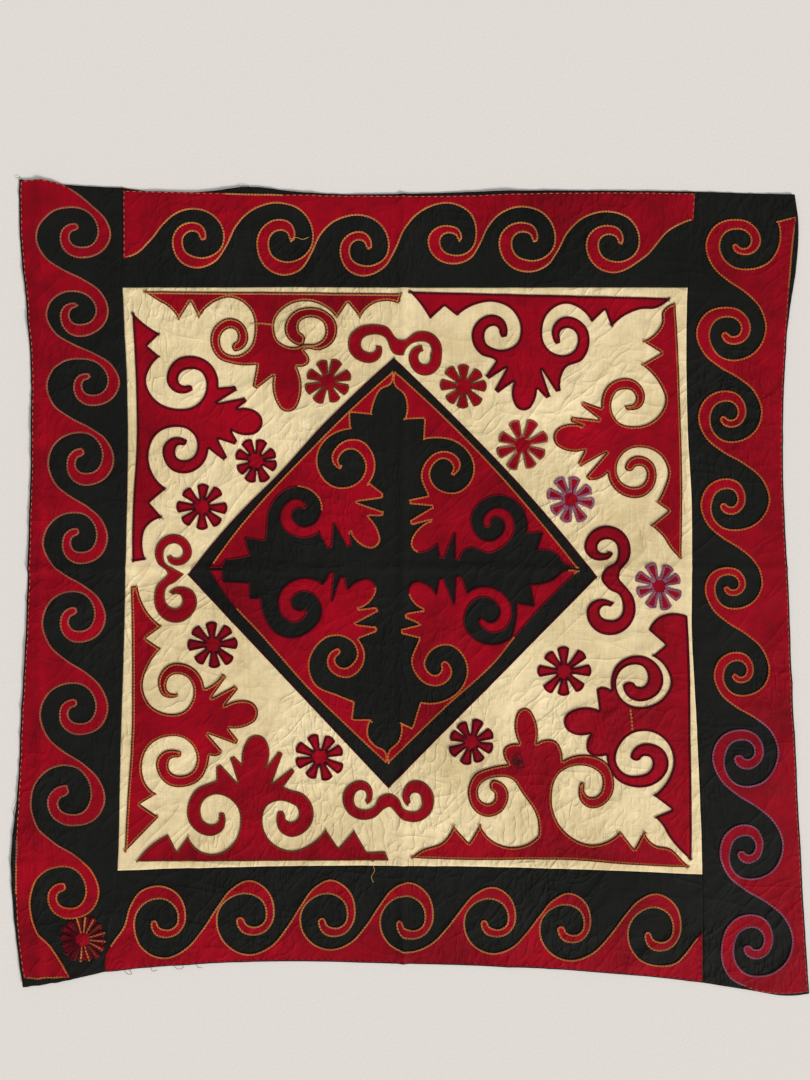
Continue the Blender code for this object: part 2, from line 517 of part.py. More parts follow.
def panels():
    """Outlines of the cream field and the four dark border strips."""
    left_side = seam(LEFT_SEAM, FIELD_TOP[0][1], FIELD_BOTTOM[-1][1])
    right_side = seam(RIGHT_SEAM, FIELD_TOP[1][1], FIELD_BOTTOM[0][1])
    field = left_side[::-1] + right_side + list(FIELD_BOTTOM[1:-1])
    top_run = [point for point in TOP_EDGE if 122 <= point[0] <= 696]
    bottom_run = [point for point in BOTTOM_EDGE if 105 <= point[0] <= 703]
    top = top_run + [FIELD_TOP[1], FIELD_TOP[0]]
    bottom = list(FIELD_BOTTOM[::-1]) + bottom_run
    left = [point for point in TOP_EDGE if point[0] <= 122] + list(LEFT_SEAM[1:])
    left += [point for point in BOTTOM_EDGE if point[0] < 105] + list(LEFT_EDGE[1:-1])
    right = [point for point in TOP_EDGE if point[0] >= 696] + list(RIGHT_EDGE[1:])
    right += list(BOTTOM_EDGE[1:3]) + list(RIGHT_SEAM[::-1][:-1])
    return {"field": field, "border_top": top, "border_bottom": bottom, "border_left": left,
            "border_right": right}


def plan_middle(outlines):
    """Middle of the box round the ground panels, on the plan."""
    xs = [x for outline in outlines for x, y in outline]
    ys = [y for outline in outlines for x, y in outline]
    return (min(xs) + max(xs)) / 2, (min(ys) + max(ys)) / 2


def lift(place):
    """Height that the creases give the cloth at a place: a straight ridge over each."""
    height = 0.0
    for crease in CREASES:
        off = abs(place[crease.axis] - crease.at)
        height += crease.height * max(0.0, 1 - off / crease.half_width)
    return height


def paint(name, colour):
    """Matt cloth in one colour."""
    material = bpy.data.materials.new(name)
    material.use_nodes = True
    shader = material.node_tree.nodes["Principled BSDF"]
    shader.inputs["Base Color"].default_value = (*colour, 1)
    shader.inputs["Roughness"].default_value = GRAIN
    shader.inputs["Metallic"].default_value = 0
    return material


def lay_cloth(name, outline, middle, layer, colour):
    """One cut piece: its outline a cloth thickness deep, lying over the creases on its layer."""
    places = [((x - middle[0]) * PLAN_SQUARE, (middle[1] - y) * PLAN_SQUARE) for x, y in outline]
    if signed_area(places) < 0:
        places.reverse()
    bm = bmesh.new()
    corners = [bm.verts.new((x, y, layer * LAYER)) for x, y in places]
    under = bm.faces.new(corners)
    raised = bmesh.ops.extrude_face_region(bm, geom=[under], use_keep_orig=True)
    upper = [item for item in raised["geom"] if isinstance(item, bmesh.types.BMVert)]
    bmesh.ops.translate(bm, vec=(0, 0, CLOTH), verts=upper)
    for crease in CREASES:
        for offset in (-crease.half_width, 0, crease.half_width):
            point = [0, 0, 0]
            normal = [0, 0, 0]
            point[crease.axis] = crease.at + offset
            normal[crease.axis] = 1
            whole = bm.verts[:] + bm.edges[:] + bm.faces[:]
            bmesh.ops.bisect_plane(bm, geom=whole, dist=1e-7, plane_co=point, plane_no=normal)
    for vertex in bm.verts:
        vertex.co.z += lift(vertex.co)
    bmesh.ops.recalc_face_normals(bm, faces=bm.faces[:])
    mesh = bpy.data.meshes.new(name)
    bm.to_mesh(mesh)
    bm.free()
    mesh.materials.append(paint(name, colour))
    piece = bpy.data.objects.new(name, mesh)
    bpy.context.scene.collection.objects.link(piece)


def main():
    """Lays the ground panels, then the motifs on them, then the horns on the diamond."""
    for old in list(bpy.data.objects):
        bpy.data.objects.remove(old)
    ground = panels()
    middle = plan_middle(ground.values())
    for name, outline in ground.items():
        colour = CREAM if name == "field" else BLACK
        lay_cloth(name, trimmed(outline, SEAM_ALLOWANCE), middle, GROUND, colour)
    for name, border in BORDERS.items():
        lay_cloth(name, wave_outline(border), middle, MOTIF, CRIMSON)
    for name, horn in FIELD_HORNS.items():
        lay_cloth(name, horn_outline(horn), middle, MOTIF, CRIMSON)
    for name, pair in DOUBLE_CURLS.items():
        lay_cloth(name, pair_outline(pair), middle, MOTIF, CRIMSON)
    for rosette in ROSETTES:
        lay_cloth(rosette.name, rosette_outline(rosette), middle, MOTIF, CRIMSON)
    lay_cloth("diamond", list(DIAMOND_EDGE), middle, MOTIF, BLACK)
    for name, horn in DIAMOND_HORNS.items():
        lay_cloth(name, horn_outline(horn), middle, TOP_MOTIF, CRIMSON)


main()
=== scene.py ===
"""Square cotton hanging, dressed: cut-cloth horns, waves and rosettes chain-stitched on a plain ground.

Every cut piece is a thin closed sheet with a turned hem, laid in the order that the real one is
sewn, and every outline carries its own chain stitches as real loops of thread. World units are
metres, +Z is up and the back of the cloth rests on z = 0.
"""

import logging
import math
from dataclasses import dataclass, field
from enum import Enum
from typing import Optional, Union

import bpy
import numpy as np
from mathutils.geometry import delaunay_2d_cdt
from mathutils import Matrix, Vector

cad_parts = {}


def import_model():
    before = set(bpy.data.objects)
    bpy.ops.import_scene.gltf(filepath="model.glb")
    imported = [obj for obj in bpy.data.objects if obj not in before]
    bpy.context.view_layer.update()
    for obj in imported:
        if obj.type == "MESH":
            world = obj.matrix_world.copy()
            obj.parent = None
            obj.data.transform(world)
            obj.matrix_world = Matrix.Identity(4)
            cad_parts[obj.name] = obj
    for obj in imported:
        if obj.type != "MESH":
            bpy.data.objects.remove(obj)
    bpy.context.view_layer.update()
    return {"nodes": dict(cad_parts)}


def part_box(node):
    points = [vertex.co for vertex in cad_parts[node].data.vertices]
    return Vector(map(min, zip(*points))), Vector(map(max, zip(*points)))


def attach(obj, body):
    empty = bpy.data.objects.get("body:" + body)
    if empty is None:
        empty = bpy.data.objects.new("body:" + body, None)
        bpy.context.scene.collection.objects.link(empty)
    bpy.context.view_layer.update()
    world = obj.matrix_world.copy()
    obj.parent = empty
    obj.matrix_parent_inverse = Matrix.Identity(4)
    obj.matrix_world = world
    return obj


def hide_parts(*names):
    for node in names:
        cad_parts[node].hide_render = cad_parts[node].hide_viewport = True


LOG = logging.getLogger("hanging")

# Places on the cutting plan: one square is one pixel of the photograph, x right and y down
PLAN_SQUARE = 0.00125
PLAN_MIDDLE = (410.25, 587.5)
PHOTO_SIZE = (810, 1080)

# Places on the plan: the diamond's middle, and how far down the side waves change thread
DIAMOND_MIDDLE = (390, 574)
LEFT_CHANGE = 862
RIGHT_CHANGE = 716

# Sizes of the cloth and of the floor under it, in metres
CLOTH = 0.00055
LAYER_STEP = 0.0009
CAD_LAYER = 0.0013
HEM = 0.0014
HEM_DROP = 0.00032
HEM_LIFT = 0.0001
LEAST_LIFT = 0.00005
MOST_LIFT = 0.0062
GRID = 0.005
SAMPLE = 0.0024
SEAM_LAP = 0.0003
ROSETTE_EASE = 0.0004
STRAIGHT_WITHIN = 6e-5
CORNER_CUT = 0.0006
CORNER_ROUND = 0.0002
FLOOR_LEVEL = -0.0004
FLOOR_HALF = 4.0

LEAST_SHARE = 0.3001

# Sizes of the stitches, in metres
CHAIN_PITCH = 0.0040
CHAIN_LENGTH = 0.0047
CHAIN_HALF_WIDTH = 0.00070
CHAIN_THREAD = 0.00042 * 1.15
DASH_THREAD = 0.00055
LOOSE_THREAD = 0.00045
LOOSE_LIFT = 0.0002
FLOOR_THREAD = 0.0004
STITCH_INSET = 0.0011
SECOND_INSET = 0.0023
EDGE_REACH = 0.0062
RIM = 0.0165
WIDE_RIM = 0.0215

# Paths of a chain loop, in shares of its length and half width, and of a running stitch, in metres
CHAIN_LOOP = ((0.0, 0.0, 0.00004), (0.42, -1.0, 0.00010), (0.88, -0.62, 0.00012),
              (0.88, 0.62, 0.00012), (0.42, 1.0, 0.00010))
DASH_PATH = ((0.0, 0.0, -0.00005), (0.0012, 0.0, 0.0001), (0.0032, 0.0, 0.0001),
             (0.0044, 0.0, -0.00005))

Array = np.ndarray
Value = Union[float, "Wire"]


def on_plan(x: float, y: float) -> tuple[float, float]:
    """World place of a point on the cutting plan."""
    return (x - PLAN_MIDDLE[0]) * PLAN_SQUARE, (PLAN_MIDDLE[1] - y) * PLAN_SQUARE


class Thread(Enum):
    """Thread colours of the sewing."""

    GOLD = "gold"
    ORANGE = "orange"
    BROWN = "brown"
    DARK = "dark"
    OLIVE = "olive"
    LILAC = "lilac"

    @property
    def slot(self) -> str:
        """Slot of the record. The gold one stands for the orange and the brown thread too."""
        shade = Thread.GOLD if self in (Thread.ORANGE, Thread.BROWN) else self
        return f"{shade.value}_thread"


class Wire:
    """A socket of a material's node tree, with arithmetic that adds Math nodes."""

    def __init__(self, recipe: "Recipe", socket: bpy.types.NodeSocket) -> None:
        """Keeps the tree that the socket is in."""
        self.recipe = recipe
        self.socket = socket

    def _math(self, operation: str, *values: Value) -> "Wire":
        """Adds one Math node on the values."""
        return self.recipe.add("ShaderNodeMath", {"operation": operation}, dict(enumerate(values)))

    def __add__(self, other: Value) -> "Wire":
        """Sum."""
        return self._math("ADD", self, other)

    def __radd__(self, other: Value) -> "Wire":
        """Sum with a number on the left."""
        return self._math("ADD", other, self)

    def __sub__(self, other: Value) -> "Wire":
        """Difference."""
        return self._math("SUBTRACT", self, other)

    def __rsub__(self, other: Value) -> "Wire":
        """Difference from a number on the left."""
        return self._math("SUBTRACT", other, self)

    def __mul__(self, other: Value) -> "Wire":
        """Product."""
        return self._math("MULTIPLY", self, other)

    def __pow__(self, other: Value) -> "Wire":
        """Power."""
        return self._math("POWER", self, other)

    def __abs__(self) -> "Wire":
        """Absolute value."""
        return self._math("ABSOLUTE", self)

    def clamped(self) -> "Wire":
        """Value kept between 0 and 1."""
        return self._math("MINIMUM", self._math("MAXIMUM", self, 0.0), 1.0)


class Recipe:
    """Node tree of one material, built from one node-making method."""

    def __init__(self, name: str) -> None:
        """Starts an empty tree with its shader and output."""
        self.material = bpy.data.materials.new(name)
        self.material.use_nodes = True
        self.tree = self.material.node_tree
        self.tree.nodes.clear()
        self.shader = self.tree.nodes.new("ShaderNodeBsdfPrincipled")
        output = self.tree.nodes.new("ShaderNodeOutputMaterial")
        self.tree.links.new(self.shader.outputs[0], output.inputs[0])
        self.place = self.add("ShaderNodeTexCoord", {}, {}, "Object")

    def add(self, kind: str, settings: dict, sockets: dict, output: Union[int, str] = 0) -> Wire:
        """Makes one node.

        Args:
            kind: the node's type.
            settings: its properties.
            sockets: values or wires by socket name or number.
            output: name or number of the output to return.

        Returns:
            The chosen output.
        """
        node = self.tree.nodes.new(kind)
        for key, value in settings.items():
            setattr(node, key, value)
        for key, value in sockets.items():
            if isinstance(value, Wire):
                self.tree.links.new(value.socket, node.inputs[key])
            else:
                node.inputs[key].default_value = value
        return Wire(self, node.outputs[output])

    def noise(self, scale: float, detail: float = 2.0, rough: float = 0.5,
              stretch: tuple[float, float, float] = (1, 1, 1), shift: float = 0.0,
              turn: float = 0.0, warp: float = 0.0) -> Wire:
        """Noise in object space.

        Args:
            scale: cells in a metre.
            detail: octaves.
            rough: weight of the finer octaves.
            stretch: factor on each axis.
            shift: offset that makes this noise unlike the others.
            turn: angle in the plane of the cloth, in radians.
            warp: distortion.

        Returns:
            Value between 0 and 1.
        """
        placed = self.add("ShaderNodeMapping", {"vector_type": "TEXTURE"}, {
            "Vector": self.place, "Location": (shift, 1.7 * shift, 0.3 * shift),
            "Rotation": (0, 0, turn), "Scale": tuple(1 / part for part in stretch)}, "Vector")
        return self.add("ShaderNodeTexNoise", {}, {
            "Vector": placed, "Scale": scale, "Detail": detail, "Roughness": rough,
            "Distortion": warp}, "Fac")

    def ramp(self, value: Wire, low: float, high: float) -> Wire:
        """Value stretched so that low becomes 0 and high 1, and clamped."""
        return self.add("ShaderNodeMapRange", {"clamp": True}, {
            "Value": value, "From Min": low, "From Max": high, "To Min": 0.0, "To Max": 1.0})

    def mix(self, factor: Value, first: Union[Wire, tuple], second: Union[Wire, tuple]) -> Wire:
        """Colour between two others."""
        return self.add("ShaderNodeMix", {"data_type": "RGBA"}, {0: factor, 6: first, 7: second}, 2)

    def spot(self, x: float, y: float, radius: float, ragged: Wire) -> Wire:
        """Soft round mark at a world place, 1 in its middle and ragged at its edge."""
        reach = self.add("ShaderNodeVectorMath", {"operation": "DISTANCE"},
                         {0: self.place, 1: (x, y, 0.0)}, "Value")
        return self.ramp(reach + (ragged - 0.5) * radius * 1.6, radius, 0.25 * radius)

    def bump(self, height: Wire, distance: float, strength: float,
             under: Optional[Wire] = None) -> Wire:
        """Normal bent by a height in units of the distance."""
        sockets: dict = {"Height": height, "Strength": strength, "Distance": distance}
        if under is not None:
            sockets["Normal"] = under
        return self.add("ShaderNodeBump", {}, sockets, "Normal")

    def finish(self, colour: Wire, normal: Wire, rough: Value, **fixed: float) -> bpy.types.Material:
        """Feeds the shader and sets its fixed sockets.

        Args:
            colour: base colour.
            normal: bent normal.
            rough: roughness.
            fixed: numbers for sockets, with underscores for the spaces of their names.

        Returns:
            The material.
        """
        self.tree.links.new(colour.socket, self.shader.inputs["Base Color"])
        self.tree.links.new(normal.socket, self.shader.inputs["Normal"])
        if isinstance(rough, Wire):
            self.tree.links.new(rough.socket, self.shader.inputs["Roughness"])
        else:
            self.shader.inputs["Roughness"].default_value = rough
        for key, value in fixed.items():
            self.shader.inputs[key.replace("_", " ")].default_value = value
        return self.material


@dataclass(frozen=True)
class Cotton:
    """Plain-weave cotton: two tones of one dye, weave, crinkles and marks."""

    name: str
    deep: tuple[float, float, float]
    pale: tuple[float, float, float]
    fade: float
    weave: float
    crinkle: float
    sheen: float
    marks: tuple[tuple[float, float, float, float], ...] = ()
    mark_tone: tuple[float, float, float] = (0.01, 0.006, 0.005)
    smudge: float = 0.0
    smudge_tone: tuple[float, float, float] = (0.3, 0.18, 0.08)

    def make(self) -> bpy.types.Material:
        """Material: threads from two stretched noises, creases from ridged noise in five directions."""
        recipe = Recipe(self.name)
        across = recipe.noise(1.0, 1.5, 0.5, (1500, 110, 300), 0.31)
        along = recipe.noise(1.0, 1.5, 0.5, (100, 1400, 300), 0.77)
        slub = recipe.noise(1.0, 2.0, 0.6, (420, 14, 60), 0.15)
        fade = recipe.noise(7.0, 3.0, 0.55, shift=0.4)
        patch = recipe.noise(34.0, 3.0, 0.6, shift=0.9, warp=0.4)
        thread = across * 0.5 + along * 0.5
        tone = ((thread - 0.5) * self.weave + (slub - 0.5) * (0.45 * self.weave) + 0.5
                + (fade - 0.5) * self.fade + (patch - 0.5) * (0.6 * self.fade))
        colour = recipe.mix(tone.clamped(), (*self.deep, 1), (*self.pale, 1))
        if self.smudge > 0:
            dirt = recipe.noise(11.0, 4.0, 0.65, shift=2.3, warp=0.8)
            colour = recipe.mix(recipe.ramp(dirt, 0.56, 0.78) * self.smudge, colour,
                                (*self.smudge_tone, 1))
        for x, y, radius, weight in self.marks:
            mark = recipe.spot(*on_plan(x, y), radius, patch) * weight
            colour = recipe.mix(mark, colour, (*self.mark_tone, 1))
        folds = recipe.noise(120.0, 3.0, 0.6, shift=5.2, warp=1.2) * 0.2
        for turn, scale, narrow, shift in ((0.50, 26.0, 0.22, 3.1), (-0.75, 31.0, 0.25, 4.4),
                                           (1.40, 36.0, 0.30, 7.7), (2.30, 52.0, 0.40, 9.2),
                                           (0.10, 80.0, 0.45, 11.3)):
            line = recipe.noise(scale, 1.5, 0.45, (1, narrow, 1), shift, turn, 0.25)
            where = recipe.ramp(recipe.noise(8.0, 1.0, 0.5, shift=shift + 1), 0.42, 0.60)
            folds = folds + ((1 - abs(line - 0.5) * 2) ** 9.0) * where * 0.46
        normal = recipe.bump(folds, 0.0020, self.crinkle)
        normal = recipe.bump(thread, 0.00012, 0.6, normal)
        rough = 0.78 + (patch - 0.5) * 0.2
        return recipe.finish(colour, normal, rough, Sheen_Weight=self.sheen,
                             Sheen_Roughness=0.5, Specular_IOR_Level=0.08)


@dataclass(frozen=True)
class Floss:
    """Twisted cotton sewing thread: tone changes along it, and a fine twist."""

    name: str
    deep: tuple[float, float, float]
    pale: tuple[float, float, float]
    sheen: float = 0.08

    def make(self) -> bpy.types.Material:
        """Material: slow tone changes along a seam and a fine twist in the bump."""
        recipe = Recipe(self.name)
        batch = recipe.noise(42.0, 3.0, 0.6, shift=0.6)
        grain = recipe.noise(700.0, 2.0, 0.6, shift=1.9)
        tone = recipe.ramp(batch * 0.65 + grain * 0.35, 0.3, 0.72)
        colour = recipe.mix(tone, (*self.deep, 1), (*self.pale, 1))
        twist = recipe.noise(1.0, 2.0, 0.5, (1900, 1900, 900), 0.2, turn=0.7)
        normal = recipe.bump(twist, 0.0001, 0.8)
        return recipe.finish(colour, normal, 0.6 + grain * 0.15, Sheen_Weight=self.sheen,
                             Specular_IOR_Level=0.15)


@dataclass(frozen=True)
class PaleFloor:
    """Plain pale floor, very slightly uneven."""

    tone: tuple[float, float, float] = (0.76, 0.74, 0.73)

    def make(self) -> bpy.types.Material:
        """Material: one pale tone with a faint grain."""
        recipe = Recipe("pale_floor")
        grain = recipe.noise(260.0, 3.0, 0.6)
        colour = recipe.mix(grain, tuple(0.96 * t for t in self.tone) + (1,), (*self.tone, 1))
        return recipe.finish(colour, recipe.bump(grain, 0.0004, 0.5), 0.9,
                             Specular_IOR_Level=0.2)


# The three cottons, each from its deepest to its palest tone
CRIMSON = Cotton("crimson_cotton", (0.085, 0.0003, 0.0035), (0.400, 0.0006, 0.0130),
                 fade=1.1, weave=0.5, crinkle=0.80, sheen=0.01,
                 marks=((267, 683, 0.010, 0.5), (202, 843, 0.008, 0.75), (641, 737, 0.009, 0.55),
                        (517, 760, 0.009, 0.8)))
BLACK = Cotton("black_cotton", (0.0030, 0.0036, 0.0032), (0.0115, 0.0128, 0.0115),
               fade=0.9, weave=0.7, crinkle=1.00, sheen=0.012)
CREAM = Cotton("cream_cotton", (0.560, 0.440, 0.225), (0.920, 0.790, 0.510),
               fade=1.0, weave=1.0, crinkle=0.90, sheen=0.01,
               smudge=0.50, smudge_tone=(0.54, 0.39, 0.19))

# The six threads, each from its deepest to its palest tone
FLOSSES = {
    Thread.GOLD: Floss("gold_thread", (0.56, 0.230, 0.040), (0.93, 0.530, 0.160)),
    Thread.ORANGE: Floss("orange_thread", (0.60, 0.160, 0.022), (0.95, 0.400, 0.085)),
    Thread.BROWN: Floss("brown_thread", (0.26, 0.115, 0.050), (0.55, 0.300, 0.150)),
    # The dark thread also sews the rows of painted hem shade outside gold and orange rows and beside
    # dark outlines.
    Thread.DARK: Floss("dark_thread", (0.016, 0.001, 0.004), (0.080, 0.003, 0.014), 0.01),
    Thread.OLIVE: Floss("olive_thread", (0.085, 0.036, 0.010), (0.260, 0.135, 0.034), 0.02),
    Thread.LILAC: Floss("lilac_thread", (0.230, 0.090, 0.200), (0.540, 0.330, 0.500)),
}


def lattice_noise(x: Array, y: Array, seed: int) -> Array:
    """Smooth gradient noise on a whole array.

    Each cell corner has a unit slope from a sine hash of its whole-number place. The value is the
    four corners' slopes times the way to each corner, eased by 6t^5 - 15t^4 + 10t^3.

    Args:
        x: places across, in cells.
        y: places up, in cells.
        seed: picks another pattern.

    Returns:
        Values of about -0.7 to 0.7.
    """
    column, row = np.floor(x), np.floor(y)
    fx, fy = x - column, y - row

    def corner(i: int, j: int) -> Array:
        """Slope of one corner times the way to it."""
        mixed = np.sin((column + i) * 127.1 + (row + j) * 311.7 + seed * 74.7) * 43758.5453
        turn = (mixed - np.floor(mixed)) * 2 * math.pi
        return np.cos(turn) * (fx - i) + np.sin(turn) * (fy - j)

    ease_x = fx ** 3 * (fx * (fx * 6 - 15) + 10)
    ease_y = fy ** 3 * (fy * (fy * 6 - 15) + 10)
    low = corner(0, 0) + (corner(1, 0) - corner(0, 0)) * ease_x
    high = corner(0, 1) + (corner(1, 1) - corner(0, 1)) * ease_x
    return low + (high - low) * ease_y


@dataclass(frozen=True)
class Fold:
    """A crease left from storage: a low ridge along one axis."""

    axis: int
    at: float
    half_width: float
    height: float
    wander: float = 0.0015


@dataclass(frozen=True)
class Lie:
    """How the cloth lies on the floor: one height for every layer at a place."""

    folds: tuple[Fold, ...] = (
        Fold(0, -0.009, 0.008, 0.0027), Fold(1, 0.024, 0.008, 0.0027),
        Fold(0, -0.462, 0.012, 0.0030), Fold(0, 0.346, 0.008, 0.0009),
        Fold(1, -0.345, 0.008, 0.0008), Fold(1, 0.370, 0.008, 0.0008))
    swell: float = 0.0014
    rumple: float = 0.0023
    crinkle: float = 0.0004

    def height(self, x: Array, y: Array) -> Array:
        """Lift of the cloth's back off the floor.

        Each fold is a tent across its line, which wanders a little. On top come a slow
        swell, ridged noise of 110, 60 and 30 mm cells bent by a slower noise, and fine crinkles.

        Args:
            x: places across, in metres.
            y: places up, in metres.

        Returns:
            Heights in metres, between LEAST_LIFT and MOST_LIFT.
        """
        bend = lattice_noise(x * 9, y * 9, 3) * 0.02
        total = self.swell * (0.5 + lattice_noise((x + bend) * 6, y * 6, 11))
        for cells, part, power, seed in ((9.0, 0.75, 2.0, 17), (16.0, 0.55, 2.0, 21),
                                         (34.0, 0.35, 1.4, 37)):
            ridge = 1 - np.abs(lattice_noise((x + bend) * cells, (y - bend) * cells, seed)) * 2.2
            calm = np.clip(0.35 + 1.5 * lattice_noise(x * 5 + 3, y * 5, seed + 1), 0, 1)
            total = total + self.rumple * part * np.clip(ridge, 0, 1) ** power * calm
        total = total + self.crinkle * (0.4 + lattice_noise(x * 78, y * 78, 51))
        total = total + self._border_wrinkles(x, y)
        for fold in self.folds:
            along, across = (y, x) if fold.axis == 0 else (x, y)
            line = fold.at + fold.wander * lattice_noise(along * 14, along * 0 + fold.at * 50, 61)
            near = np.clip(np.abs(across - line) / fold.half_width, 0, 1)
            strength = 0.7 + 0.6 * lattice_noise(along * 11, along * 0 + 7.3, 71)
            total = total + fold.height * strength * (1 - near) ** 1.4
        return np.clip(total, LEAST_LIFT, MOST_LIFT)

    @staticmethod
    def _border_wrinkles(x: Array, y: Array) -> Array:
        """Slanting wrinkles down the left border: ridged noise stretched along a slanting line."""
        side = np.clip((-0.385 - x) / 0.05, 0, 1)
        ridge = 1 - np.abs(lattice_noise((x + 0.8 * y) * 30, (y - 0.4 * x) * 7, 81)) * 2.4
        return 0.0013 * side * np.clip(ridge, 0, 1) ** 3


LIE = Lie()


def crossed(a: Array, b: Array) -> Array:
    """Third component of the cross product of flat vectors."""
    return a[..., 0] * b[..., 1] - a[..., 1] * b[..., 0]


def unit(vectors: Array) -> Array:
    """Vectors of length 1."""
    return vectors / np.maximum(np.linalg.norm(vectors, axis=-1, keepdims=True), 1e-12)


def cut_line(node: bpy.types.Object) -> Array:
    """Outline of a CAD node's upper face, anticlockwise.

    Args:
        node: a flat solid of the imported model.

    Returns:
        Corners as (n, 2), without those that only split a straight run.
    """
    mesh = node.data
    mesh.calc_loop_triangles()
    places = np.empty(len(mesh.vertices) * 3)
    mesh.vertices.foreach_get("co", places)
    indices = np.empty(len(mesh.loop_triangles) * 3, dtype=np.int64)
    mesh.loop_triangles.foreach_get("vertices", indices)
    corners = places.reshape(-1, 3)[indices.reshape(-1, 3)]
    normals = unit(np.cross(corners[:, 1] - corners[:, 0], corners[:, 2] - corners[:, 0]))
    upper = corners[normals[:, 2] > 0.5]
    keys = np.round(upper[:, :, :2] * 1e6).astype(np.int64).reshape(-1, 2)
    unique, first, ids = np.unique(keys, axis=0, return_index=True, return_inverse=True)
    points = upper[:, :, :2].reshape(-1, 2)[first]
    ids = ids.reshape(-1, 3)
    edges = np.concatenate([ids[:, [0, 1]], ids[:, [1, 2]], ids[:, [2, 0]]])
    present = {(int(a), int(b)) for a, b in edges}
    following = {a: b for a, b in present if (b, a) not in present}
    start = min(following)
    chain = [start]
    while following[chain[-1]] != start:
        chain.append(following[chain[-1]])
    line = points[chain]
    while True:
        before, after = np.roll(line, 1, axis=0), np.roll(line, -1, axis=0)
        off = np.abs(crossed(unit(after - before), line - before))
        ahead = np.sum((line - before) * (after - line), axis=1) > 0
        split = (off < STRAIGHT_WITHIN) & ahead
        split[1:] &= ~split[:-1]
        if not split.any():
            return line
        line = line[~split]


def sewn_line(line: Array, corner: float = 58.0) -> Array:
    """Smooth closed line through the corners of a cut, with its sharp corners kept.

    Each run between corners is a cubic whose end slopes are those of the circle through a corner
    and its two neighbours. At a sharp corner the slope is the other end's, mirrored in the run.

    Args:
        line: corners as (n, 2), anticlockwise.
        corner: turn in degrees from which a corner stays sharp.

    Returns:
        Points about SAMPLE apart, each sharp corner replaced by a small round.
    """
    step_in = line - np.roll(line, 1, axis=0)
    step_out = np.roll(line, -1, axis=0) - line
    long_in = np.linalg.norm(step_in, axis=1, keepdims=True)
    long_out = np.linalg.norm(step_out, axis=1, keepdims=True)
    slope = unit(step_in * long_out / long_in + step_out * long_in / long_out)
    turn = np.degrees(np.arctan2(crossed(step_in, step_out), np.sum(step_in * step_out, axis=1)))
    sharp = np.abs(turn) > corner
    way = unit(step_out)
    start, end = slope.copy(), np.roll(slope, -1, axis=0).copy()
    sharp_end = np.roll(sharp, -1)
    mirrored_start = unit(2 * way * np.sum(way * end, axis=1, keepdims=True) - end)
    mirrored_end = unit(2 * way * np.sum(way * start, axis=1, keepdims=True) - start)
    start = np.where((sharp & sharp_end)[:, None], way, np.where(sharp[:, None], mirrored_start, start))
    end = np.where((sharp & sharp_end)[:, None], way, np.where(sharp_end[:, None], mirrored_end, end))
    start, end = eased(start, way), eased(end, way)
    pieces = []
    for index in range(len(line)):
        length = float(long_out[index, 0])
        count = max(2, round(length / SAMPLE))
        t = (np.arange(count) / count)[:, None]
        here, there = line[index], line[(index + 1) % len(line)]
        run = ((2 * t ** 3 - 3 * t ** 2 + 1) * here + (t ** 3 - 2 * t ** 2 + t) * start[index] * length
               + (3 * t ** 2 - 2 * t ** 3) * there + (t ** 3 - t ** 2) * end[index] * length)
        if sharp[index]:
            back = pieces[-1][-1] if pieces else here
            behind = unit(back - here) if pieces else -way[index]
            onward = unit(run[1] - here)
            tip = here + (onward + behind) * CORNER_ROUND
            run = np.concatenate([[here + behind * CORNER_CUT], [tip], [here + onward * CORNER_CUT],
                                  run[1:]])
        pieces.append(run)
    return np.concatenate(pieces)


def eased(slope: Array, way: Array, most: float = 27.0) -> Array:
    """Slopes turned back until none stands more than an angle off its run.

    Args:
        slope: unit slopes as (n, 2).
        way: unit directions of the runs.
        most: largest angle, in degrees.

    Returns:
        Unit slopes.
    """
    angle = np.arctan2(crossed(way, slope), np.sum(way * slope, axis=1))
    angle = np.clip(angle, -math.radians(most), math.radians(most))[:, None]
    side = np.stack([-way[:, 1], way[:, 0]], axis=1)
    return np.cos(angle) * way + np.sin(angle) * side


def in_parts(points: Array, line: Array) -> list[Array]:
    """Points in parts small enough to set against a whole line at once."""
    return np.array_split(points, max(1, len(points) * len(line) // 3_000_000))


def reach_to(points: Array, line: Array) -> Array:
    """Distance of points from a closed line.

    Args:
        points: places as (n, 2).
        line: closed line as (m, 2).

    Returns:
        Distances to the nearest place on any of its runs.
    """
    way = np.roll(line, -1, axis=0) - line
    square = np.maximum(np.sum(way * way, axis=1), 1e-18)
    found = []
    for part in in_parts(points, line):
        off_x, off_y = part[:, :1] - line[:, 0], part[:, 1:] - line[:, 1]
        share = np.clip((off_x * way[:, 0] + off_y * way[:, 1]) / square, 0, 1)
        gap = (off_x - share * way[:, 0]) ** 2 + (off_y - share * way[:, 1]) ** 2
        found.append(np.sqrt(gap.min(axis=1)))
    return np.concatenate(found)


def inside(points: Array, line: Array) -> Array:
    """Whether points lie inside a closed line: the crossings to their left are odd in number.

    Args:
        points: places as (n, 2).
        line: closed line as (m, 2).

    Returns:
        True for the points inside.
    """
    end = np.roll(line, -1, axis=0)
    rise = end[:, 1] - line[:, 1]
    slant = (end[:, 0] - line[:, 0]) / np.where(np.abs(rise) < 1e-15, 1e-15, rise)
    found = []
    for part in in_parts(points, line):
        level = part[:, 1:]
        passes = (line[:, 1] > level) != (end[:, 1] > level)
        left = part[:, :1] < line[:, 0] + (level - line[:, 1]) * slant
        found.append(np.count_nonzero(passes & left, axis=1) % 2 == 1)
    return np.concatenate(found)


def outward(line: Array) -> Array:
    """Unit vectors that point out of an anticlockwise closed line at its points."""
    way = unit(np.roll(line, -1, axis=0) - np.roll(line, 1, axis=0))
    return np.stack([way[:, 1], -way[:, 0]], axis=1)


def area_of(line: Array) -> float:
    """Area inside a closed line."""
    return abs(float(np.sum(crossed(line, np.roll(line, -1, axis=0))))) / 2


